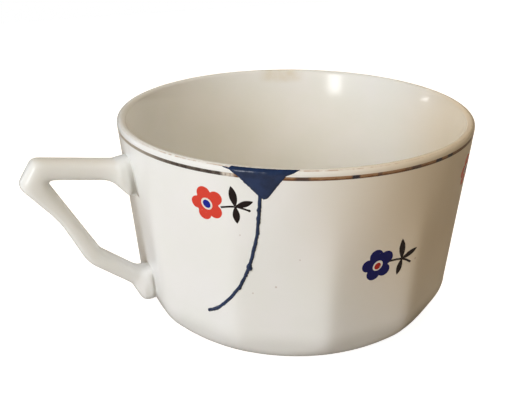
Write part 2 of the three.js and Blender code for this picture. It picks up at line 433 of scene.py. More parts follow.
class TurnedTree(WallTree):
    """Turns a line of profile points round the axis, with panels on its first rows."""

    def __init__(self, name: str, wall: Wall, around: int, outer_rows: int) -> None:
        """Builds the tree.

        Args:
            name: The tree's name.
            wall: The wall that the panels belong to.
            around: Steps in one turn.
            outer_rows: How many of the first profile points lie on the panelled outside.
        """
        super().__init__(name, {"Around": around, "Outer Rows": outer_rows, **wall.panel_sizes()})
        given = self.given
        profile = given["Geometry"]
        feeds = {"Geometry": profile}
        rows = self.node("GeometryNodeAttributeDomainSize", feeds, component="MESH").outputs["Point Count"]
        columns = self.plus(given["Around"], 1)
        grid = self.out("GeometryNodeMeshGrid", {"Vertices X": columns, "Vertices Y": rows})
        index = self.out("GeometryNodeInputIndex")
        row = self.math("MODULO", index, rows)
        column = self.math("FLOOR", self.over(index, rows))
        feeds = {"Geometry": profile, "Value": self.out("GeometryNodeInputPosition"), "Index": row}
        sample = self.node("GeometryNodeSampleIndex", feeds, data_type="FLOAT_VECTOR", domain="POINT")
        radius, _, height = self.split(sample.outputs["Value"])
        angle = self.times(self.over(column, given["Around"]), 2 * math.pi)
        outer = self.math("LESS_THAN", row, given["Outer Rows"])
        panel = self.minus(self.panel_factor(angle, height), 1)
        factor = self.math("MULTIPLY_ADD", panel, outer, 1)
        shape = self.moved(grid, self.place(self.times(radius, factor), angle, height))
        joined = self.out("GeometryNodeMergeByDistance", {"Geometry": shape, "Distance": WELD_M})
        self.close(joined)


class WrapTree(WallTree):
    """Repeats a flat solid round the mug and wraps each copy on the wall."""

    def __init__(self, name: str, wall: Wall, first: float, step: float = 0.0, copies: int = 1) -> None:
        """Builds the tree.

        Args:
            name: The tree's name.
            wall: The wall to wrap on.
            first: Angle of the first copy, in degrees.
            step: Angle from one copy to the next, in degrees.
            copies: How many there are.
        """
        turns = {"Copies": copies, "First Turn": math.radians(first), "Turn Step": math.radians(step)}
        super().__init__(name, {**turns, **wall.panel_sizes(), **wall.lip_sizes()})
        given = self.given
        feeds = {"Count": given["Copies"], "Offset": (0.0, 0.0, 0.0)}
        seats = self.out("GeometryNodeMeshLine", feeds)
        index = self.out("GeometryNodeInputIndex")
        turn = self.math("MULTIPLY_ADD", index, given["Turn Step"], given["First Turn"])
        feeds = {"Geometry": seats, "Name": "turn", "Value": turn}
        marked = self.out("GeometryNodeStoreNamedAttribute", feeds, domain="POINT")
        feeds = {"Points": marked, "Instance": given["Geometry"]}
        copied = self.out("GeometryNodeInstanceOnPoints", feeds)
        real = self.out("GeometryNodeRealizeInstances", {"Geometry": copied})
        kept = self.node("GeometryNodeInputNamedAttribute", {"Name": "turn"}).outputs["Attribute"]
        self.close(self.moved(real, self.on_wall(kept)))


class BeadTree(WallTree):
    """Lays a round bead along a line on the wall, as thick as the line's girth attribute says."""

    def __init__(self, name: str, wall: Wall, turn: float, sides: int) -> None:
        """Builds the tree.

        Args:
            name: The tree's name.
            wall: The wall that the bead lies on.
            turn: Angle of the line's side way 0, in degrees.
            sides: Steps round the bead.
        """
        sizes = {"Turn": math.radians(turn), "Sides": sides, **wall.panel_sizes(), **wall.lip_sizes()}
        super().__init__(name, sizes)
        given = self.given
        laid = self.moved(given["Geometry"], self.on_wall(given["Turn"]))
        path = self.out("GeometryNodeMeshToCurve", {"Mesh": laid})
        feeds = {"Resolution": given["Sides"], "Radius": 1.0}
        ring = self.node("GeometryNodeCurvePrimitiveCircle", feeds).outputs["Curve"]
        girth = self.node("GeometryNodeInputNamedAttribute", {"Name": "girth"}).outputs["Attribute"]
        feeds = {"Curve": path, "Profile Curve": ring, "Scale": girth, "Fill Caps": True}
        self.close(self.out("GeometryNodeCurveToMesh", feeds))


@dataclass(frozen=True)
class Pillow:
    """Section of a flat solid, in millimetres: its edge, how it swells, and how deep it goes."""

    lift: float
    rise: float
    edge: float
    sink: float
    ripple: float = 0.0
    ripple_length: float = 3.0

    def heights(self, places: np.ndarray, inset: np.ndarray) -> np.ndarray:
        """Gives the stand-off of each place.

        Args:
            places: The places, two numbers each.
            inset: How far each place lies inside the outline.

        Returns:
            The stand-offs of the face.
        """
        share = 1 - np.clip(inset / self.edge, 0, 1)
        wave = [noise.noise(Vector((x, y, 0)) / self.ripple_length) for x, y in places]
        return self.lift + (self.rise + self.ripple * np.array(wave)) * np.sqrt(1 - share**2)


def inset_of(places: np.ndarray, ends: np.ndarray) -> np.ndarray:
    """Measures how far places lie from an outline.

    Args:
        places: The places, two numbers each.
        ends: The outline's edges, as pairs of places.

    Returns:
        The least distance of each place.
    """
    start, along = ends[:, 0], ends[:, 1] - ends[:, 0]
    away = places[:, None, :] - start[None]
    share = np.clip((away * along[None]).sum(2) / (along**2).sum(1)[None], 0, 1)
    return np.linalg.norm(away - share[..., None] * along[None], axis=2).min(1)


def flat_solid(name: str, outlines: Sequence[Sequence[Point]], spacing: float, pillow: Pillow) -> Mesh:
    """Makes a thin closed solid from outlines, which are joined where they overlap.

    Args:
        name: The mesh's name.
        outlines: Closed outlines in millimetres, side way and length down from the lip's crest.
        spacing: Distance between the points inside.
        pillow: The solid's section.

    Returns:
        The flat mesh, in metres.
    """
    points = [Vector(p) for outline in outlines for p in outline]
    faces, first = [], 0
    for outline in outlines:
        faces.append(list(range(first, first + len(outline))))
        first += len(outline)
    low = [min(p[i] for p in points) for i in range(2)]
    high = [max(p[i] for p in points) for i in range(2)]
    counts = [int((high[i] - low[i]) / spacing) for i in range(2)]
    for i in range(1, counts[0] + 1):
        for j in range(1, counts[1] + 1):
            column, row = i - (j % 2) / 2, j - ROW_SHIFT
            points.append(Vector((low[0] + column * spacing, low[1] + row * spacing)))
    places, _, triangles, *_ = delaunay_2d_cdt(points, [], faces, 1, SAME_PLACE_MM)
    used = sorted({i for triangle in triangles for i in triangle})
    number = {old: new for new, old in enumerate(used)}
    flat = np.array([places[i] for i in used])
    triangles = [[number[i] for i in triangle] for triangle in triangles]
    sides = [(t[i], t[(i + 1) % 3]) for t in triangles for i in range(3)]
    inside = set(sides)
    border = [side for side in sides if (side[1], side[0]) not in inside]
    heights = pillow.heights(flat, inset_of(flat, flat[np.array(border)]))
    count = len(flat)
    top = [Vector((x, y, z)) * MM for (x, y), z in zip(flat, heights, strict=True)]
    base = [Vector((x, y, -pillow.sink)) * MM for x, y in flat]
    skin = [t[::-1] for t in triangles] + [[i + count for i in t] for t in triangles]
    skirt = [[a, b, b + count, a + count] for a, b in border]
    mesh = bpy.data.meshes.new(name)
    mesh.from_pydata(top + base, [], skin + skirt)
    return mesh


class Coat(Board):
    """The shader nodes of one finish, which follow the place on the piece."""

    def __init__(self, tree: bpy.types.NodeTree) -> None:
        """Adds the place."""
        super().__init__(tree)
        self.place = self.node("ShaderNodeTexCoord").outputs["Object"]

    def noise(self, size: float, detail: float = 3.0) -> Socket:
        """Adds noise with features of a size in millimetres."""
        feeds = {"Vector": self.place, "W": NOISE_SEED, "Scale": 1 / (size * MM), "Detail": detail}
        return self.node("ShaderNodeTexNoise", feeds, noise_dimensions="4D").outputs["Fac"]

    def mix(self, share: Feed, first: Feed, second: Feed) -> Socket:
        """Mixes two colours."""
        return self.node("ShaderNodeMix", {0: share, 6: first, 7: second}, data_type="RGBA").outputs[2]

    def rise(self, value: Feed, start: float, full: float) -> Socket:
        """Adds a share that grows from 0 to 1 between two lengths in millimetres."""
        return self.ramp(value, start * MM, full * MM)

    def fall(self, value: Feed, full: float, end: float) -> Socket:
        """Adds a share that falls from 1 to 0 between two lengths in millimetres."""
        return self.rest(self.rise(value, full, end))

    def spot(self, middle: Vector, full: float, end: float) -> Socket:
        """Adds a round spot that is full to one radius and gone at the other, in millimetres."""
        feeds = {0: self.place, 1: tuple(middle * MM)}
        away = self.node("ShaderNodeVectorMath", feeds, operation="DISTANCE").outputs["Value"]
        return self.fall(away, full, end)


@dataclass(frozen=True)
class Finish:
    """A glossy surface with a mottled colour; sizes are in millimetres."""

    name: str
    colour: Colour
    second: Colour
    roughness: float
    mottle_size: float = 6.0
    mottle_edge: Point = (0.35, 0.65)
    bump_size: float = 1.2
    bump_height: float = 0.004
    refraction: float = 1.5
    specular: float = 0.5

    def material(self) -> Material:
        """Builds the material, whose roughness wanders by a third, and returns it."""
        made = bpy.data.materials.new(self.name)
        made.use_nodes = True
        coat = Coat(made.node_tree)
        sockets = made.node_tree.nodes["Principled BSDF"].inputs
        coat.feed(sockets["Base Color"], self.colour_nodes(coat))
        grain = coat.plus(coat.noise(self.mottle_size), 0.5)
        coat.feed(sockets["Roughness"], coat.times(grain, self.roughness))
        feeds = {"Height": coat.noise(self.bump_size), "Distance": self.bump_height * MM}
        coat.feed(sockets["Normal"], coat.node("ShaderNodeBump", feeds).outputs["Normal"])
        sockets["IOR"].default_value = self.refraction
        sockets["Specular IOR Level"].default_value = self.specular
        return made

    def colour_nodes(self, coat: Coat) -> Socket:
        """Adds the colour, which wanders between the finish's two colours."""
        share = coat.ramp(coat.noise(self.mottle_size), *self.mottle_edge)
        return coat.mix(share, linear(self.colour), linear(self.second))


@dataclass(frozen=True)
class ShadeGrimeBand:
    """A stretch of grime and painted shade up a joint: the heights where it sets in and where it fades,
    and its strength.
    """

    start: Point
    end: Point
    strength: float


@dataclass(frozen=True)
class GlazeFinish(Finish):
    """Cream glaze with specks, a worn trace on the lip, a stain, a painted warm light on one side, grime
    with painted shade in the handle joints and a bare foot.
    """

    wall: Wall | None = None
    # painted warm light: a warm tint on the right side of the wall near the rim, where light from that
    # side falls
    painted_warm_light: Colour = (238, 225, 204)
    painted_warm_light_turn: float = 40.0
    painted_warm_light_height: float = 57.0
    painted_warm_light_reach: Point = (25.0, 65.0)
    speck: Colour = (150, 110, 84)
    speck_edge: Point = (0.5, 1.3)
    speck_strength: float = 0.38
    specks: tuple[tuple[float, float, float, float], ...] = (
        (-11.05, -40.76, 27.05, 0.3),
        (-16.09, -37.6, 24.83, 0.22),
        (-6.34, -44.64, 35.65, 0.2),
        (-19.46, -37.45, 42.0, 0.2),
        (26.32, -47.89, 30.76, 0.34),
        (58.86, -23.54, 60.1, 0.4),
        (51.08, -35.03, 60.1, 0.4),
        (65.28, 1.18, 60.1, 0.36),
        (40.0, 42.3, 38.0, 0.3),
        (-8.0, 43.9, 30.0, 0.28),
        (58.2, 21.0, 22.0, 0.3),
    )
    trace: Colour = (176, 132, 94)
    trace_out: float = 0.55
    trace_width: float = 0.17
    trace_core: float = 0.35
    trace_grain: float = 1.6
    trace_wear: Point = (0.36, 0.62)
    trace_turn: float = -38.0
    trace_reach: Point = (14.0, 42.0)
    trace_strength: Point = (0.16, 0.66)
    stain: Colour = (224, 212, 184)
    stain_turn: float = 159.0
    stain_inset: float = 2.6
    stain_drop: float = 1.6
    stain_reach: Point = (2.85, 9.5)
    stain_fade: Point = (3.4, 0.8)
    stain_grain: float = 3.2
    stain_strength: float = 0.85
    # grime with painted shade, darkening the crevices where the handle's sides meet the wall
    shade_and_grime: Colour = (118, 106, 82)
    shade_grime_width: float = 7.8
    shade_grime_offset: float = 0.5
    shade_grime_edge: Point = (0.4, 1.5)
    shade_grime_span: Point = (12.0, 46.0)
    shade_grime_bands: tuple[ShadeGrimeBand, ...] = (
        ShadeGrimeBand((42.0, 42.8), (61.0, 62.0), 0.03),
        ShadeGrimeBand((42.0, 42.8), (43.0, 53.0), 0.45),
        ShadeGrimeBand((42.0, 42.8), (42.8, 44.2), 0.3),
        ShadeGrimeBand((8.5, 10.0), (15.5, 18.5), 0.26),
    )
    bare: Colour = (196, 178, 150)
    bare_height: float = 0.15

    def colour_nodes(self, coat: Coat) -> Socket:
        """Adds the cream, the marks on it and the painted light and shade, one over the other."""
        wall = self.wall
        colour = super().colour_nodes(coat)
        x, y, z = coat.split(coat.place)
        aside = coat.minus(x, wall.axis_x * MM)
        square = coat.plus(coat.math("POWER", aside, 2), coat.math("POWER", y, 2))
        radius = coat.math("SQRT", square)
        warm_light_middle = wall.place(self.painted_warm_light_turn, wall.rim_radius, self.painted_warm_light_height)
        marks = (
            # painted warm light on the right side of the wall
            (coat.spot(warm_light_middle, *self.painted_warm_light_reach), self.painted_warm_light),
            (self.speck_nodes(coat), self.speck),
            (self.trace_nodes(coat, radius, z), self.trace),
            (self.stain_nodes(coat, z), self.stain),
            # grime and painted shade in the crevices of the handle joints
            (self.shade_grime_nodes(coat, aside, y, radius, z), self.shade_and_grime),
            (coat.math("LESS_THAN", z, self.bare_height * MM), self.bare),
        )
        for share, mark in marks:
            colour = coat.mix(share, colour, linear(mark))
        return colour

    def speck_nodes(self, coat: Coat) -> Socket:
        """Adds a few tiny iron specks, each a place and a radius."""
        share = 0.0
        core, edge = self.speck_edge
        for x, y, z, radius in self.specks:
            share = coat.math("MAXIMUM", share, coat.spot(Vector((x, y, z)), radius * core, radius * edge))
        return coat.times(share, self.speck_strength)

    def trace_nodes(self, coat: Coat, radius: Socket, z: Socket) -> Socket:
        """Adds the rubbed remains of a thin painted line along the lip, strongest beside the chip."""
        wall = self.wall
        lip_radius, lip_height = wall.lip_centre
        out = coat.over(coat.minus(radius, lip_radius * MM), wall.lip_radius * MM)
        off = coat.math("ABSOLUTE", coat.minus(out, self.trace_out))
        line = coat.rest(coat.ramp(off, self.trace_width * self.trace_core, self.trace_width))
        worn = coat.ramp(coat.noise(self.trace_grain, detail=5.0), *self.trace_wear)
        near = coat.spot(wall.place(self.trace_turn, wall.rim_radius, wall.height), *self.trace_reach)
        faint, strong = self.trace_strength
        strength = coat.math("MULTIPLY_ADD", near, strong - faint, faint)
        line = coat.times(line, coat.times(worn, strength))
        return coat.times(line, coat.math("GREATER_THAN", z, lip_height * MM))

    def stain_nodes(self, coat: Coat, z: Socket) -> Socket:
        """Adds a tan stain inside the rim, at the back."""
        wall = self.wall
        height = wall.height - self.stain_drop
        middle = wall.place(self.stain_turn, wall.rim_radius - self.stain_inset, height)
        low, high = [height - drop for drop in self.stain_fade]
        near = coat.times(coat.spot(middle, *self.stain_reach), coat.rise(z, low, high))
        return coat.times(near, coat.times(coat.noise(self.stain_grain), self.stain_strength))

    def shade_grime_nodes(self, coat: Coat, aside: Socket, y: Socket, radius: Socket, z: Socket) -> Socket:
        """Adds grime and painted shade in the corners between the handle's sides and the wall.

        Args:
            coat: The finish's nodes.
            aside: Distance from the axis along the handle.
            y: Distance from the handle's middle plane.
            radius: Distance from the axis.
            z: Height.

        Returns:
            The share of grime and painted shade.
        """
        low, high = self.shade_grime_span
        feeds = {"Value": z, "From Min": low * MM, "From Max": high * MM}
        feeds |= {"To Min": self.wall.panel_radius(low) * MM, "To Max": self.wall.panel_radius(high) * MM}
        wall = coat.node("ShaderNodeMapRange", feeds, clamp=False).outputs["Result"]
        away = coat.math("ABSOLUTE", coat.minus(coat.minus(radius, wall), self.shade_grime_offset * MM))
        off = coat.math("ABSOLUTE", coat.minus(coat.math("ABSOLUTE", y), self.shade_grime_width / 2 * MM))
        corner = coat.fall(coat.math("MAXIMUM", away, off), *self.shade_grime_edge)
        joint = 0.0
        for band in self.shade_grime_bands:
            shown = coat.times(coat.rise(z, *band.start), coat.fall(z, *band.end))
            joint = coat.math("MULTIPLY_ADD", shown, band.strength, joint)
        return coat.times(corner, coat.times(joint, coat.math("LESS_THAN", aside, 0)))


@dataclass(frozen=True)
class GiltFinish(Finish):
    """A painted metal line: dark near the handle, tan over brown elsewhere, with dashes and worn places.

    Turns are in degrees round the axis, and the dashes and worn arcs are a middle and a half length.
    """

    axis_x: float = 0.0
    middle_height: float = 0.0
    width: float = 1.0
    tan: Colour = (158, 122, 88)
    brown: Colour = (112, 70, 40)
    tan_edge: Point = (0.3, 0.55)
    tan_sway: float = 0.9
    tan_grain: float = 2.0
    far: Colour = (104, 72, 46)
    far_turns: Point = (12.0, 40.0)
    dark_start: Point = (-150.0, -120.0)
    dark_end: Point = (-42.0, -46.0)
    dull: Colour = (182, 172, 156)
    dull_turns: Point = (-60.0, -80.0)
    dull_strength: float = 0.75
    dash: Colour = (44, 42, 52)
    dashes: tuple[tuple[float, float, float], ...] = (
        (-24.6, 2.6, 0.75),
        (-10.4, 1.5, 1.0),
        (-3.5, 0.9, 0.5),
        (5.2, 1.2, 0.4),
        (8.4, 2.6, 0.7),
        (17.6, 1.9, 1.0),
        (23.2, 1.9, 1.0),
        (64.0, 2.0, 0.8),
        (98.0, 1.4, 0.9),
        (121.0, 3.0, 0.7),
        (150.0, 1.6, 1.0),
        (171.0, 2.6, 0.8),
    )
    worn: Colour = (224, 216, 204)
    worn_arcs: tuple[Point, ...] = ((-44.6, 2.4), (78.0, 5.0), (136.0, 6.0), (-165.0, 8.0))
    worn_grain: float = 0.8
    worn_edge: Point = (0.2, 0.6)
    worn_strength: float = 0.85
    arc_core: float = 0.45

    def colour_nodes(self, coat: Coat) -> Socket:
        """Adds the metal's colour round the rim and the places where it is worn away."""
        dark = super().colour_nodes(coat)
        x, y, z = coat.split(coat.place)
        aside = coat.minus(x, self.axis_x * MM)
        turn = coat.math("DEGREES", coat.math("ARCTAN2", aside, coat.times(y, -1)))
        up = coat.over(coat.minus(z, (self.middle_height - self.width / 2) * MM), self.width * MM)
        sway = coat.math("MULTIPLY_ADD", coat.noise(self.tan_grain), self.tan_sway, -self.tan_sway / 2)
        share = coat.ramp(coat.plus(up, sway), *self.tan_edge)
        gold = coat.mix(share, linear(self.brown), linear(self.tan))
        gold = coat.mix(coat.ramp(turn, *self.far_turns), gold, linear(self.far))
        left = coat.times(coat.ramp(turn, *self.dark_start), coat.ramp(turn, *self.dark_end))
        colour = coat.mix(left, gold, dark)
        faded = coat.times(coat.ramp(turn, *self.dull_turns), left)
        colour = coat.mix(coat.times(faded, self.dull_strength), colour, linear(self.dull))
        for middle, half, strength in self.dashes:
            share = coat.times(self.arc(coat, turn, middle, half), strength)
            colour = coat.mix(share, colour, linear(self.dash))
        rubbed = coat.ramp(coat.noise(self.worn_grain, detail=4.0), *self.worn_edge)
        rubbed = coat.times(rubbed, self.worn_strength)
        for middle, half in self.worn_arcs:
            share = coat.times(self.arc(coat, turn, middle, half), rubbed)
            colour = coat.mix(share, colour, linear(self.worn))
        return colour

    def arc(self, coat: Coat, turn: Socket, middle: float, half: float) -> Socket:
        """Adds a share that is 1 within an arc round the rim, in degrees, and 0 outside it."""
        off = coat.math("ABSOLUTE", coat.minus(turn, middle))
        return coat.rest(coat.ramp(off, half * self.arc_core, half))


@dataclass(frozen=True)
class PrintFinish(Finish):
    """A printed colour with a few pinholes and rubbed flecks that show the glaze."""

    specular: float = 0.25
    fleck: Colour = (232, 224, 212)
    fleck_grain: float = 0.9
    fleck_edge: Point = (0.69, 0.75)

    def colour_nodes(self, coat: Coat) -> Socket:
        """Adds the printed colour and its flecks."""
        bare = coat.ramp(coat.noise(self.fleck_grain, detail=4.0), *self.fleck_edge)
        return coat.mix(bare, super().colour_nodes(coat), linear(self.fleck))


def finished(holder: Piece, crease_degrees: float, slot: Slot, *nodes: str) -> Piece:
    """Shades a piece and hands it over to the frame.

    Args:
        holder: The finished piece.
        crease_degrees: Edges sharper than this stay sharp.
        slot: The record's material slot; not used.
        nodes: The solids that the piece stands for.

    Returns:
        The piece.
    """
    holder.data.shade_smooth()
    holder.data.set_sharp_from_angle(angle=math.radians(crease_degrees))
    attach(holder, BODY)
    if nodes:
        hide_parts(*nodes)
    LOG.info("%s: %d faces", holder.name, len(holder.data.polygons))
    return holder


def beside(start: Vector, end: Vector, along: float, distance: float) -> Vector:
    """Gives the point beside a line, at a distance to its left."""
    way = (end - start).normalized()
    return start.lerp(end, along) + Vector((-way.y, way.x)) * distance


def side_line(start: Vector, end: Vector, first: float, last: float) -> tuple[Vector, Vector]:
    """Gives the line to the left of another, by its distances at the start and at the end."""
    return beside(start, end, 0, first), beside(start, end, 1, last)


def crossing(first: tuple[Vector, Vector], second: tuple[Vector, Vector]) -> Vector:
    """Gives the point where two lines cross."""
    u, v = first[1] - first[0], second[1] - second[0]
    along = (second[0] - first[0]).cross(v) / u.cross(v)
    return first[0] + u * along


def corner_cut(rail: Rail, index: int) -> float:
    """Gives how far from a corner its rounding begins."""
    corner, rounding = rail[index]
    if rounding == 0:
        return 0.0
    before, after = rail[index - 1][0] - corner, rail[index + 1][0] - corner
    return rounding / math.tan(before.angle(after) / 2)


def corner_curve(rail: Rail, index: int, cut: float, along: float) -> Vector:
    """Gives a point on the curve that rounds a corner."""
    corner = rail[index][0]
    start = corner + (rail[index - 1][0] - corner).normalized() * cut
    end = corner + (rail[index + 1][0] - corner).normalized() * cut
    return start.lerp(corner, along).lerp(corner.lerp(end, along), along)


def rail_point(rail: Rail, at: float) -> Vector:
    """Gives a point on a line with rounded corners.

    Args:
        rail: The line's corners, each with its rounding.
        at: Place along the line, where a whole number is the middle of that corner.

    Returns:
        The point.
    """
    index = min(int(at), len(rail) - 2)
    start, end = rail[index][0], rail[index + 1][0]
    length = (end - start).length
    travel = (at - index) * length
    cut_start, cut_end = corner_cut(rail, index), corner_cut(rail, index + 1)
    if travel < cut_start:
        return corner_curve(rail, index, cut_start, 0.5 + 0.5 * travel / cut_start)
    if travel > length - cut_end:
        return corner_curve(rail, index + 1, cut_end, 0.5 * (travel - length + cut_end) / cut_end)
    return start.lerp(end, at - index)


def smooth_line(corners: Sequence[Vector], step: float) -> list[Vector]:
    """Runs a smooth curve through points.

    Args:
        corners: The points.
        step: About how far apart the curve's points are.

    Returns:
        The curve's points.
    """
    line = []
    for i in range(len(corners) - 1):
        before, start = corners[max(i - 1, 0)], corners[i]
        end, after = corners[i + 1], corners[min(i + 2, len(corners) - 1)]
        count = max(int((end - start).length / step), 1)
        for k in range(count):
            t = k / count
            pull = (end - before) * t + (2 * before - 5 * start + 4 * end - after) * t * t
            line.append(start + (pull + (3 * start - before - 3 * end + after) * t**3) / 2)
    return [*line, corners[-1]]


@dataclass(frozen=True)
class Handle:
    """The angular handle, in millimetres: x outwards from the mug's axis, y up.

    The stations pair places on the outer edge with places on the inner one. The pads and draws are
    stretches of the outer edge where the handle widens towards the wall and then draws in again.
    """

    wall: Wall
    width: float = 6.8
    root_flare: float = 0.8
    root_depth: float = 1.6
    squareness: float = 2.7
    top_bar_drop: float = 7.65
    top_bar_rise: float = 3.3
    top_bar_thickness: float = 5.5
    top_heel_reach: float = 3.6
    top_heel_rise: float = 1.2
    top_corner_reach: float = 24.3
    outer_corner_reach: float = 28.7
    outer_corner_drop: float = 11.3
    diagonal_top: float = 6.8
    diagonal_foot: float = 5.1
    diagonal_bow: float = 1.9
    elbow_reach: float = 16.8
    elbow_height: float = 23.8
    lower_bar_thickness: float = 4.9
    lower_web_height: float = 18.9
    lower_joint_reach: float = 4.9
    lower_joint_height: float = 14.6
    pad_reach: float = 1.8
    pad_height: float = 8.2
    pad_root_depth: float = 2.6
    upper_web_drop: float = 19.2
    web_heel_reach: float = 1.6
    web_heel_rise: float = 0.9
    corner_rounding: float = 2.6
    elbow_rounding: float = 11.0
    joint_rounding: float = 4.0
    bow_rounding: float = 30.0
    web_rounding: float = 7.2
    stations: tuple[Point, ...] = (
        (0, 0),
        (1, 0.45),
        (2, 1),
        (3, 2),
        (4, 2.5),
        (5, 2.84),
        (5.5, 3),
        (6, 3.16),
        (6.83, 4),
        (7.49, 5),
        (8, 6),
    )
    upper_pad: Point = (6.77, 7.23)
    upper_draw: Point = (7.44, 7.85)
    lower_pad: Point = (1.0, 2.0)
    lower_draw: Point = (0.25, 0.6)
    draw_share: float = 0.7
    steps: int = 18
    sides: int = 48

    def rails(self) -> tuple[Rail, Rail]:
        """Works out the outer and the inner edge of the handle.

        Returns:
            Two lines of corners, each with its rounding.
        """
        wall = self.wall
        top_height = wall.height - self.top_bar_drop
        top_heel = Vector((wall.radius(top_height) + self.top_heel_reach, top_height))
        top_root = Vector((wall.radius(top_height) - self.root_depth, top_height + self.top_heel_rise))
        top_corner = Vector((wall.rim_radius + self.top_corner_reach, top_height + self.top_bar_rise))
        outer = Vector((wall.rim_radius + self.outer_corner_reach, wall.height - self.outer_corner_drop))
        elbow = Vector((wall.shoulder_radius + self.elbow_reach, self.elbow_height))
        joint = Vector((wall.shoulder_radius + self.lower_joint_reach, self.lower_joint_height))
        pad = Vector((wall.shoulder_radius + self.pad_reach, self.pad_height))
        pad_root = Vector((wall.radius(self.pad_height) - self.pad_root_depth, self.pad_height))
        bow = beside(elbow, outer, 0.5, self.diagonal_bow)
        lower = side_line(joint, elbow, self.lower_bar_thickness, self.lower_bar_thickness)
        slant = side_line(elbow, outer, self.diagonal_foot, self.diagonal_top)
        under = side_line(top_heel, top_corner, -self.top_bar_thickness, -self.top_bar_thickness)
        web_height = wall.height - self.upper_web_drop
        web_foot = Vector((wall.radius(web_height), web_height))
        web_slant = web_foot, web_foot - Vector((1, 1))
        web_heel = web_foot + Vector((self.web_heel_reach, self.web_heel_rise))
        web_root = web_foot + Vector((-self.root_depth, 0))
        lower_level = Vector((0, self.lower_web_height)), Vector((1, self.lower_web_height))
        lower_root = Vector((wall.shoulder_radius - self.root_depth, self.lower_web_height))
        outside = [
            (pad_root, 0.0),
            (pad, self.corner_rounding),
            (joint, self.joint_rounding),
            (elbow, self.elbow_rounding),
            (bow, self.bow_rounding),
            (outer, self.corner_rounding),
            (top_corner, self.corner_rounding),
            (top_heel, self.joint_rounding),
            (top_root, 0.0),
        ]
        inside = [
            (lower_root, 0.0),
            (crossing(lower, lower_level), self.joint_rounding),
            (crossing(lower, slant), self.joint_rounding),
            (crossing(slant, under), self.corner_rounding / 2),
            (crossing(under, web_slant), self.web_rounding),
            (web_heel, self.web_heel_reach / 2),
            (web_root, 0.0),
        ]
        return outside, inside

    def build(self) -> Mesh:
        """Lofts rounded sections between the two edges and returns the closed mesh, in metres."""
        outside, inside = self.rails()
        pairs = [self.stations[0]]
        for (o0, i0), (o1, i1) in zip(self.stations, self.stations[1:], strict=False):
            for step in range(1, self.steps + 1):
                share = step / self.steps
                pairs.append((o0 + (o1 - o0) * share, i0 + (i1 - i0) * share))
        points, faces = [], []
        for o, i in pairs:
            out, into = rail_point(outside, o), rail_point(inside, i)
            points += self.section(out, into, self.width / 2 + self.root_flare * self.swell(o))
        count = self.sides
        for ring in range(len(pairs) - 1):
            for side in range(count):
                a, b = ring * count + side, ring * count + (side + 1) % count
                faces.append((a, a + count, b + count, b))
        last = (len(pairs) - 1) * count
        faces.append(tuple(range(count)))
        faces.append(tuple(range(last + count - 1, last - 1, -1)))
        mesh = bpy.data.meshes.new("handle")
        mesh.from_pydata([p * MM for p in points], [], faces)
        return mesh

    def swell(self, at: float) -> float:
        """Gives how much of the root flare a place on the outer edge has."""
        upper = smooth_share(at, *self.upper_pad) - self.draw_share * smooth_share(at, *self.upper_draw)
        drawn = self.draw_share * (1 - smooth_share(at, *self.lower_draw))
        lower = 1 - smooth_share(at, *self.lower_pad) - drawn
        return max(upper, 0) + max(lower, 0)

    def section(self, out: Vector, into: Vector, half_width: float) -> list[Vector]:
        """Draws one closed section as a squared-off ellipse from the outer to the inner edge."""
        middle, half = (out + into) / 2, (out - into) / 2
        power = 2 / self.squareness
        ring = []
        for side in range(self.sides):
            angle = 2 * math.pi * side / self.sides
            across = math.copysign(abs(math.cos(angle)) ** power, math.cos(angle))
            wide = math.copysign(abs(math.sin(angle)) ** power, math.sin(angle))
            spot = middle + half * across
            ring.append(Vector((self.wall.axis_x - spot.x, half_width * wide, spot.y)))
        return ring


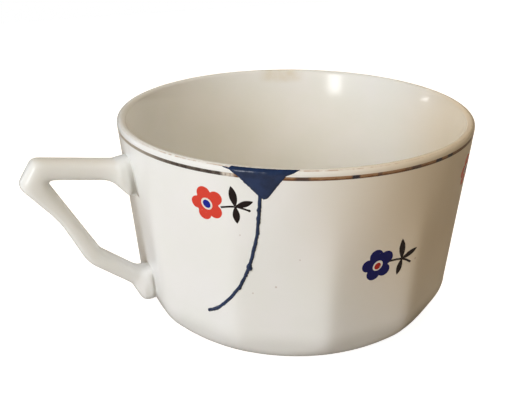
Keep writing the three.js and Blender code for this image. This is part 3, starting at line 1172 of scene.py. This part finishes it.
@dataclass(frozen=True)
class Cup:
    """The fired body with its handle; the inner rows gather near the lip by a power."""

    wall: Wall
    around: int = 288
    wall_steps: int = 44
    arc_steps: int = 20
    floor_steps: int = 8
    foot_edge: float = 0.4
    gather: float = 1.6
    crease: float = 32.0

    def profile(self) -> tuple[list[Point], int]:
        """Draws half of the turned section.

        Returns:
            Its points, from the middle of the underside over the lip to the middle of the floor, and how
            many of them lie outside.
        """
        outside = self.underside() + self.outer_wall()
        lip = self.lip()
        crest = self.arc_steps // 2 + 1
        return outside + lip + self.inside(), len(outside) + crest

    def underside(self) -> list[Point]:
        """Draws the recess below the floor, the foot ring and the curve up to the shoulder."""
        wall = self.wall
        recess = wall.foot_radius - wall.foot_ring_width
        deep = recess - wall.foot_recess
        edge = self.foot_edge
        points = [(deep * i / self.floor_steps, wall.foot_recess) for i in range(self.floor_steps + 1)]
        points += [(recess - edge, edge), (recess, edge / 4), (recess + edge, 0)]
        reach = wall.shoulder_radius - wall.foot_radius
        for i in range(self.arc_steps + 1):
            angle = math.pi / 2 * i / self.arc_steps
            out, drop = reach * math.sin(angle), wall.shoulder_height * math.cos(angle)
            points.append((wall.foot_radius + out, wall.shoulder_height - drop))
        return points

    def outer_wall(self) -> list[Point]:
        """Draws the wall from the shoulder to the lip."""
        wall = self.wall
        top = wall.lip_centre[1] + wall.lip_radius * math.cos(math.pi / 2 + wall.slope)
        points = []
        for i in range(1, self.wall_steps):
            height = wall.shoulder_height + (top - wall.shoulder_height) * i / self.wall_steps
            points.append((wall.radius(height), height))
        return points

    def lip(self) -> list[Point]:
        """Draws the round lip from the outside to the inside."""
        wall = self.wall
        lip_out, lip_up = wall.lip_centre
        start = math.pi / 2 + wall.slope
        points = []
        for i in range(self.arc_steps + 1):
            angle = start - (start + math.pi / 2) * i / self.arc_steps
            out, up = wall.lip_radius * math.sin(angle), wall.lip_radius * math.cos(angle)
            points.append((lip_out + out, lip_up + up))
        return points

    def inside(self) -> list[Point]:
        """Draws the inside, which flares near the lip, down to the middle of the floor."""
        wall = self.wall
        lip_out, lip_up = wall.lip_centre
        inner_out = wall.shoulder_radius - wall.thickness
        floor = wall.foot_recess + wall.floor_thickness
        inner_foot = floor + wall.floor_rounding
        lip_in = lip_out - wall.lip_radius
        points = []
        for i in range(1, self.wall_steps):
            share = (i / self.wall_steps) ** self.gather
            deep = (lip_up - inner_foot) * share / wall.flare_depth
            out = lip_in + (inner_out - lip_in) * share - wall.flare * deep * math.exp(1 - deep)
            points.append((out, lip_up + (inner_foot - lip_up) * share))
        for i in range(self.arc_steps + 1):
            angle = math.pi / 2 * i / self.arc_steps
            out = inner_out - wall.floor_rounding * (1 - math.cos(angle))
            points.append((out, inner_foot - wall.floor_rounding * math.sin(angle)))
        flat = inner_out - wall.floor_rounding
        for i in range(1, self.floor_steps + 1):
            points.append((flat * (1 - i / self.floor_steps), floor))
        return points

    def build(self, glaze: Material, pocket: Piece) -> Piece:
        """Turns the body, joins the handle to it and cuts the chip.

        Args:
            glaze: The glaze.
            pocket: The chip's shape, which is used up.

        Returns:
            The finished cup.
        """
        points, outer_rows = self.profile()
        line = strip_mesh("cup_profile", [(r, 0, z) for r, z in points])
        tree = TurnedTree("turned_body", self.wall, self.around, outer_rows)
        body = tree.grow("glazed_cup", line, glaze)
        handle = linked("handle", Handle(self.wall).build())
        handle.data.materials.append(glaze)
        for tool, operation in ((handle, "UNION"), (pocket, "DIFFERENCE")):
            cut = body.modifiers.new("cut", "BOOLEAN")
            cut.object, cut.operation, cut.solver = tool, operation, "MANIFOLD"
            settled(body)
            bpy.data.objects.remove(tool)
        return finished(body, self.crease, Slot.GLAZE, "cup")


@dataclass(frozen=True)
class Wander:
    """A smooth wander along a line: the length of its waves in millimetres and its own seed."""

    length: float
    seed: Point

    def at(self, travel: float) -> float:
        """Gives the wander at a length along the line."""
        return noise.noise(Vector((travel / self.length, *self.seed)))


@dataclass(frozen=True)
class Knot:
    """A thick place in the bead: its drop from the rim, its swelling, its reach and its push aside."""

    drop: float
    swell: float
    reach: float
    push: float


@dataclass(frozen=True)
class Fill:
    """The blue resin in the chip and along the crack.

    Places are side way from the chip's middle and drop from the rim, in millimetres. The patch runs from
    the lip on the left down to its point and up to the right.
    """

    wall: Wall
    turn: float = -35.0
    patch: tuple[Point, ...] = (
        (-7.8, 0.06),
        (-8.5, 0.55),
        (-5.75, 2.55),
        (-3.25, 4.9),
        (-1.3, 6.7),
        (-1.0, 7.1),
        (0.2, 7.8),
        (0.9, 7.6),
        (1.45, 7.1),
        (2.8, 5.15),
        (4.25, 3.05),
        (5.6, 1.35),
        (7.45, 0.64),
        (8.7, 0.06),
    )
    sliver: tuple[Point, ...] = ((-8.2, 0.4), (-9.3, 0.3), (-10.3, 0.28), (-9.6, 0.48), (-8.3, 0.75))
    pillow: Pillow = Pillow(lift=0.06, rise=0.2, edge=0.7, sink=0.75, ripple=0.07, ripple_length=2.2)
    spacing: float = 0.3
    edge_step: float = 0.25
    edge_wander: float = 0.12
    edge_grain: float = 1.7
    edge_seed: float = 4.0
    pocket: Pillow = Pillow(lift=1.0, rise=0.0, edge=0.5, sink=0.85)
    pocket_inset: float = 0.25
    pocket_spacing: float = 1.0
    bare: Finish = Finish("chip_bare", (214, 200, 176), (200, 186, 160), roughness=0.6)
    crack: tuple[Point, ...] = (
        (-0.72, 6.9),
        (-0.8, 8.2),
        (-1.08, 12.2),
        (-1.72, 17.9),
        (-2.85, 23.2),
        (-3.9, 27.2),
        (-5.65, 31.8),
        (-7.8, 35.7),
        (-10.85, 39.65),
        (-13.7, 42.5),
        (-16.9, 44.35),
    )
    bead_girth: float = 0.48
    bead_sink: float = 0.1
    bead_step: float = 0.16
    bead_sides: int = 14
    bead_end: float = 0.08
    swells: Wander = Wander(1.6, (7.0, 0.0))
    fine: Wander = Wander(0.55, (2.0, 9.0))
    drift: Wander = Wander(2.4, (1.0, 3.0))
    girth_share: float = 0.16
    drift_reach: float = 0.14
    fine_reach: float = 0.08
    knots: tuple[Knot, ...] = (
        Knot(10.9, 0.12, 0.4, -0.12),
        Knot(13.2, 0.1, 0.5, -0.1),
        Knot(21.9, 0.08, 0.5, 0.08),
        Knot(27.5, 0.24, 0.75, 0.0),
        Knot(28.05, 0.14, 0.3, 0.3),
        Knot(34.2, 0.06, 0.4, 0.1),
        Knot(42.6, 0.06, 1.2, 0.0),
    )
    crease: float = 60.0

    def flat(self, places: Sequence[Point]) -> list[Vector]:
        """Turns drops from the rim into lengths down the wall."""
        return [Vector((side, self.wall.along(drop))) for side, drop in places]

    def outline(self) -> list[Point]:
        """Draws the patch, whose edges wander a little as broken edges do."""
        corners = self.flat(self.patch)
        line = []
        for start, end in zip(corners, corners[1:] + corners[:1], strict=True):
            count = max(int((end - start).length / self.edge_step), 1)
            for i in range(count):
                spot = start.lerp(end, i / count)
                place = Vector((spot.x * self.edge_grain, spot.y * self.edge_grain, self.edge_seed))
                sway = noise.noise(place) * self.edge_wander
                line.append((spot.x + sway, spot.y - sway / 2))
        return line

    def build_pocket(self) -> Piece:
        """Makes the shape that the chip takes out of the glazed wall."""
        line = [Vector(p) for p in self.outline()]
        middle = sum(line, Vector((0, 0))) / len(line)
        small = [tuple(p + (middle - p).normalized() * self.pocket_inset) for p in line]
        mesh = flat_solid("chip_pocket", [small], self.pocket_spacing, self.pocket)
        tree = WrapTree("chip_pocket", self.wall, self.turn)
        return tree.grow("chip_pocket", mesh, self.bare.material())

    def build(self, resin: Material) -> list[Piece]:
        """Makes the patch and the bead and returns them."""
        tail = [tuple(p) for p in self.flat(self.sliver)]
        mesh = flat_solid("patch", [self.outline(), tail], self.spacing, self.pillow)
        patch = WrapTree("blue_patch", self.wall, self.turn).grow("blue_patch", mesh, resin)
        tree = BeadTree("crack_bead", self.wall, self.turn, self.bead_sides)
        bead = tree.grow("crack_bead", self.bead_line(), resin)
        return [
            finished(patch, self.crease, Slot.RESIN, "blue_repair_fill"),
            finished(bead, self.crease, Slot.RESIN),
        ]

    def bead_line(self) -> Mesh:
        """Draws the crack's line with the bead's girth at each point.

        Returns:
            A line of edges on the flat, in metres, with a girth attribute.
        """
        line = smooth_line(self.flat(self.crack), self.bead_step)
        points, girths, travel = [], [], 0.0
        for index, spot in enumerate(line):
            if index:
                travel += (spot - line[index - 1]).length
            fine = self.fine.at(travel)
            girth = self.bead_girth * (1 + self.girth_share * (self.swells.at(travel) + fine))
            sway = self.drift.at(travel) * self.drift_reach + fine * self.fine_reach
            for knot in self.knots:
                near = math.exp(-(((spot.y - self.wall.along(knot.drop)) / knot.reach) ** 2))
                girth += knot.swell * near
                sway += knot.push * near
            girths.append(girth)
            points.append(Vector((spot.x + sway, spot.y, -self.bead_sink)))
        reach = girths[-1]
        for i, point in enumerate(points):
            left = min((point - points[-1]).length / reach, 1)
            girths[i] *= max(math.sqrt(1 - (1 - left) ** 2), self.bead_end)
        mesh = strip_mesh("crack_line", points)
        attribute = mesh.attributes.new("girth", "FLOAT", "POINT")
        attribute.data.foreach_set("value", [g * MM for g in girths])
        return mesh


class Ink(Enum):
    """Colours of the print."""

    RED = (219, 70, 55)
    NAVY = (10, 16, 94)
    LEAF = (32, 24, 25)
    CREAM = (234, 229, 220)
    BLUE = (27, 40, 150)
    MAROON = (176, 40, 34)


@dataclass(frozen=True)
class Petal:
    """A round petal: the way it points in degrees, how far out its middle is, and its radius."""

    way: float
    reach: float
    radius: float


@dataclass(frozen=True)
class Leaf:
    """A pointed leaf, widest near its middle: the way it points in degrees, its length and its width."""

    way: float
    length: float
    width: float
    foot_width: float = 0.12
    lean: float = 1.1
    fullness: float = 0.85

    def outline(self, foot: Vector, steps: int = 14) -> list[Point]:
        """Draws the leaf.

        Args:
            foot: Where it grows from.
            steps: Points along each side.

        Returns:
            The outline.
        """
        angle = math.radians(self.way)
        way = Vector((math.cos(angle), math.sin(angle)))
        across = Vector((-way.y, way.x))
        line = []
        for side in (-1, 1):
            half = []
            for i in range(steps + 1):
                share = i / steps
                swell = math.sin(math.pi * share**self.lean) ** self.fullness
                width = self.foot_width * (1 - share) + self.width / 2 * swell
                half.append(tuple(foot + way * self.length * share + across * width * side))
            line += half if side < 0 else half[::-1][1:]
        return line


@dataclass(frozen=True)
class Oval:
    """A tilted oval, its half sizes and tilt in degrees."""

    long: float
    short: float
    tilt: float
    shift: Point = (0.0, 0.0)

    def outline(self, steps: int = 32) -> list[Point]:
        """Draws the oval."""
        line = []
        tilt = math.radians(self.tilt)
        for i in range(steps):
            angle = 2 * math.pi * i / steps
            x, y = self.long * math.cos(angle), self.short * math.sin(angle)
            across = x * math.cos(tilt) - y * math.sin(tilt) + self.shift[0]
            line.append((across, x * math.sin(tilt) + y * math.cos(tilt) + self.shift[1]))
        return line


@dataclass(frozen=True)
class Sprig:
    """One printed flower with a stem and three leaves.

    Places are side way and up from the flower's middle, in millimetres. The lifts are how far the petals,
    the leaves, the ring and the dot stand off the wall.
    """

    name: str
    turn: float
    height: float
    step: float
    copies: int
    petal_ink: Ink
    dot_ink: Ink
    petals: tuple[Petal, ...]
    ring: Oval
    dot: Oval
    stem: tuple[Point, ...]
    leaves: tuple[Leaf, ...]
    stem_width: float = 0.5
    stem_end: float = 0.36
    stem_end_steps: int = 14
    stem_step: float = 0.4
    heart: float = 3.27
    lifts: tuple[float, float, float, float] = (0.03, 0.035, 0.055, 0.08)
    section: Pillow = Pillow(lift=0.0, rise=0.012, edge=0.12, sink=0.1)
    spacing: float = 0.8
    crease: float = 50.0

    def flower(self, steps: int = 120) -> list[Point]:
        """Draws the outer edge of the petals together."""
        line = []
        for i in range(steps):
            angle = 2 * math.pi * i / steps
            far = self.heart
            for petal in self.petals:
                turn = angle - math.radians(petal.way)
                off = petal.reach * math.sin(turn)
                if abs(off) < petal.radius:
                    far = max(far, petal.reach * math.cos(turn) + math.sqrt(petal.radius**2 - off**2))
            line.append((far * math.cos(angle), far * math.sin(angle)))
        return line

    def foliage(self) -> list[list[Point]]:
        """Draws the stem, its round end and the leaves, as outlines that overlap."""
        corners = [Vector(p) for p in self.stem]
        line = smooth_line(corners, self.stem_step)
        left, right = [], []
        for i, spot in enumerate(line):
            way = (line[min(i + 1, len(line) - 1)] - line[max(i - 1, 0)]).normalized()
            across = Vector((-way.y, way.x)) * self.stem_width / 2
            left.append(tuple(spot + across))
            right.append(tuple(spot - across))
        end = Oval(self.stem_end, self.stem_end, 0, tuple(corners[-1])).outline(self.stem_end_steps)
        return [right + left[::-1], end, *(leaf.outline(corners[1]) for leaf in self.leaves)]

    def build(self, wall: Wall, inks: dict[Ink, Material]) -> list[Piece]:
        """Prints the sprig round the mug.

        Args:
            wall: The wall that carries the print.
            inks: The material of each ink.

        Returns:
            The printed pieces, one for each layer.
        """
        layers = (
            ("petals", self.petal_ink, [self.flower()]),
            ("leaves", Ink.LEAF, self.foliage()),
            ("rings", Ink.CREAM, [self.ring.outline()]),
            ("dots", self.dot_ink, [self.dot.outline()]),
        )
        level = wall.along(wall.height - self.height)
        pieces = []
        for (label, ink, outlines), lift in zip(layers, self.lifts, strict=True):
            placed = [[(x, level - y) for x, y in outline][::-1] for outline in outlines]
            name = f"{self.name}_{label}"
            mesh = flat_solid(name, placed, self.spacing, replace(self.section, lift=lift))
            tree = WrapTree(name, wall, self.turn, self.step, self.copies)
            piece = tree.grow(name, mesh, inks[ink])
            pieces.append(finished(piece, self.crease, Slot.PRINT))
        return pieces


@dataclass(frozen=True)
class Gilt:
    """The painted metal line below the rim."""

    wall: Wall
    drop: float = 2.08
    width: float = 0.95
    proud: float = 0.025
    sink: float = 0.1
    bevel: float = 0.1
    around: int = 288
    crease: float = 50.0

    def finish(self) -> GiltFinish:
        """The finish of the line, which needs to know where it lies."""
        return GiltFinish(
            "worn_gilt",
            (96, 87, 80),
            (62, 54, 50),
            roughness=0.35,
            mottle_size=1.4,
            axis_x=self.wall.axis_x,
            middle_height=self.wall.height - self.drop,
            width=self.width,
        )

    def build(self, metal: Material) -> Piece:
        """Turns the thin line round the wall."""
        wall = self.wall
        low, high = self.drop + self.width / 2, self.drop - self.width / 2
        section = (
            (low, 0.0),
            (low - self.bevel, self.proud),
            (high + self.bevel, self.proud),
            (high, 0.0),
            (high, -self.sink),
            (low, -self.sink),
            (low, 0.0),
        )
        ring = []
        for drop, stand in section:
            height = wall.height - drop
            ring.append((wall.radius(height) + stand, 0, height))
        line = strip_mesh("gilt_profile", ring)
        piece = TurnedTree("gilt_line", wall, self.around, len(ring)).grow("gilt_line", line, metal)
        return finished(piece, self.crease, Slot.GILT)


@dataclass(frozen=True)
class Lamp:
    """A soft lamp: its way round from the camera and up, in degrees, then metres, watts and colour.

    A pane is a lamp that shows in the gloss alone, as a small bright window does.
    """

    name: str
    way: float
    height: float
    distance: float
    width: float
    tall: float
    power: float
    colour: Colour
    pane: bool = False


@dataclass(frozen=True)
class Studio:
    """Camera, lamps, floor and surroundings; the lamps are set out from the camera's side."""

    wall: Wall
    camera_turn: float = -27.0
    camera_height: float = 23.1386
    camera_distance: float = 234.05
    yaw: float = 2.0889
    pitch: float = -0.1755
    roll: float = -1.0555
    focal_px: float = 749.6
    sensor: float = 36.0
    floor_size: float = 1.1
    floor_gap: float = 0.0002
    floor_colour: Colour = (180, 172, 162)
    floor_glow: float = 0.93
    world_colour: Colour = (205, 196, 182)
    world_strength: float = 0.03
    lamps: tuple[Lamp, ...] = (
        Lamp("window", -40, 15, 0.8, 0.5, 0.5, 4.2, (237, 245, 255)),
        Lamp("near", -20, 30, 0.8, 0.5, 0.5, 1.85, (255, 232, 195)),
        Lamp("ceiling", 0, 80, 0.8, 0.5, 0.5, 1.0, (240, 246, 255)),
        Lamp("room", 70, 60, 0.8, 0.5, 0.5, 0.85, (255, 226, 172)),
        Lamp("high", 160, 65, 0.8, 0.5, 0.5, 1.0, (255, 235, 206)),
        Lamp("behind", 180, 20, 0.8, 0.5, 0.5, 3.2, (255, 239, 216)),
        Lamp("near_pane", -31, 15, 1.0, 0.16, 0.36, 1.65, (255, 255, 255), True),
        Lamp("side_pane", -110, 4, 1.0, 0.1, 0.14, 0.35, (255, 255, 255), True),
    )

    @property
    def middle(self) -> Vector:
        """The point that the camera and the lamps are set out from, in metres."""
        return Vector((self.wall.axis_x, 0, self.wall.height / 2)) * MM

    def build(self) -> None:
        """Sets up the whole stage."""
        self.add_camera()
        for lamp in self.lamps:
            self.add_lamp(lamp)
        self.add_floor()
        self.add_world()
        bpy.context.scene.view_settings.view_transform = "Standard"

    def add_camera(self) -> None:
        """Stands the camera where the photograph was taken from."""
        data = bpy.data.cameras.new("camera")
        data.sensor_width = self.sensor
        data.lens = self.focal_px / PHOTO_WIDTH_PX * self.sensor
        camera = linked("camera", data)
        away = raised_direction(self.camera_turn, self.camera_height)
        turn = math.radians(self.camera_turn)
        right = Vector((math.cos(turn), math.sin(turn), 0))
        ahead = -away
        up = right.cross(ahead)
        yaw = Matrix.Rotation(math.radians(self.yaw), 3, up)
        ahead, right = yaw @ ahead, yaw @ right
        pitch = Matrix.Rotation(math.radians(self.pitch), 3, right)
        ahead, up = pitch @ ahead, pitch @ up
        roll = Matrix.Rotation(math.radians(self.roll), 3, ahead)
        right, up = roll @ right, roll @ up
        basis = Matrix((right, up, -ahead)).transposed().to_4x4()
        camera.matrix_world = Matrix.Translation(self.middle + away * self.camera_distance * MM) @ basis
        bpy.context.scene.camera = camera

    def add_lamp(self, lamp: Lamp) -> None:
        """Hangs one lamp, aimed at the middle of the mug."""
        data = bpy.data.lights.new(lamp.name, "AREA")
        data.shape = "RECTANGLE"
        data.size, data.size_y = lamp.width, lamp.tall
        data.energy = lamp.power
        data.color = linear(lamp.colour)[:3]
        holder = linked(lamp.name, data)
        away = raised_direction(self.camera_turn + lamp.way, lamp.height)
        holder.location = self.middle + away * lamp.distance
        holder.rotation_euler = away.to_track_quat("Z", "Y").to_euler()
        holder.visible_glossy = lamp.pane
        holder.visible_diffuse = not lamp.pane

    def add_floor(self) -> None:
        """Lays a plain floor that looks white to the camera and keeps the mug's shadow."""
        half = self.floor_size / 2
        mesh = bpy.data.meshes.new("floor")
        corners = [(-half, -half), (half, -half), (half, half), (-half, half)]
        mesh.from_pydata([(x, y, -self.floor_gap) for x, y in corners], [], [(0, 1, 2, 3)])
        material = bpy.data.materials.new("floor")
        material.use_nodes = True
        board = Board(material.node_tree)
        nodes = material.node_tree.nodes
        nodes.remove(nodes["Principled BSDF"])
        matt = board.out("ShaderNodeBsdfDiffuse", {"Color": linear(self.floor_colour)})
        seen = board.node("ShaderNodeLightPath").outputs["Is Camera Ray"]
        glow = board.out("ShaderNodeEmission", {"Strength": board.times(seen, self.floor_glow)})
        both = board.out("ShaderNodeAddShader", {0: matt, 1: glow})
        board.feed(nodes["Material Output"].inputs["Surface"], both)
        mesh.materials.append(material)
        linked("floor", mesh)

    def add_world(self) -> None:
        """Surrounds the mug with dim soft light, which the camera sees as white."""
        world = bpy.data.worlds.new("studio")
        world.use_nodes = True
        board = Board(world.node_tree)
        seen = board.node("ShaderNodeLightPath").outputs["Is Camera Ray"]
        feeds = {"Color": linear(self.world_colour), "Strength": self.world_strength}
        soft = board.out("ShaderNodeBackground", feeds)
        white = board.out("ShaderNodeBackground", {"Color": (1, 1, 1, 1), "Strength": 1.0})
        mixed = board.out("ShaderNodeMixShader", {0: seen, 1: soft, 2: white})
        board.feed(world.node_tree.nodes["World Output"].inputs["Surface"], mixed)
        bpy.context.scene.world = world


def sprigs() -> tuple[Sprig, ...]:
    """The two kinds of sprig: red ones near the rim and navy ones lower, between them."""
    red = Sprig(
        name="red_sprigs",
        turn=-51.55,
        height=49.34,
        step=93.3,
        copies=4,
        petal_ink=Ink.RED,
        dot_ink=Ink.BLUE,
        petals=(
            Petal(105, 2.78, 1.98),
            Petal(38, 3.13, 1.88),
            Petal(-38, 2.85, 1.89),
            Petal(-106, 2.8, 1.86),
            Petal(181, 2.79, 1.71),
        ),
        ring=Oval(1.7, 1.52, -50),
        dot=Oval(1.18, 1.02, -50),
        stem=((3.9, -0.2), (7.8, 0.5), (11.3, -0.2)),
        leaves=(Leaf(99.5, 5.6, 1.95), Leaf(22.5, 4.95, 1.5), Leaf(-87, 4.65, 1.75)),
    )
    navy = Sprig(
        name="navy_sprigs",
        turn=0.14,
        height=31.31,
        step=90.0,
        copies=3,
        petal_ink=Ink.NAVY,
        dot_ink=Ink.MAROON,
        petals=(
            Petal(103, 3.15, 2.03),
            Petal(41, 3.1, 2.12),
            Petal(-37, 2.6, 1.88),
            Petal(-115, 2.37, 2.05),
            Petal(170, 2.97, 1.82),
        ),
        ring=Oval(1.62, 1.38, 50, (0.05, 0.12)),
        dot=Oval(1.05, 0.92, 52),
        stem=((2.9, 0.7), (7.55, 0.55), (10.35, -0.95)),
        leaves=(Leaf(96.5, 6.3, 1.75), Leaf(27, 5.2, 1.4), Leaf(-100, 4.9, 1.5)),
        stem_width=0.6,
        heart=2.78,
    )
    return red, navy


def main() -> None:
    """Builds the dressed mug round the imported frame."""
    logging.basicConfig(level=logging.INFO, format="%(name)s: %(message)s")
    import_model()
    low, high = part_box("cup")
    wall = Wall(axis_x=(high.x - (high.y - low.y) / 2) / MM)
    glaze = GlazeFinish(
        "cream_glaze", (245, 246, 246), (243, 245, 243), roughness=0.14, mottle_size=14.0, wall=wall
    )
    resin = Finish(
        "blue_resin",
        (37, 55, 92),
        (31, 46, 76),
        roughness=0.2,
        mottle_size=3.0,
        bump_size=0.6,
        bump_height=0.035,
    )
    gilt = Gilt(wall)
    inks = {}
    for ink in Ink:
        finish = PrintFinish(f"ink_{ink.name.lower()}", ink.value, ink.value, roughness=0.2)
        inks[ink] = finish.material()
    fill = Fill(wall)
    Cup(wall).build(glaze.material(), fill.build_pocket())
    fill.build(resin.material())
    gilt.build(gilt.finish().material())
    for sprig in sprigs():
        sprig.build(wall, inks)
    Studio(wall).build()


if __name__ == "__main__":
    main()
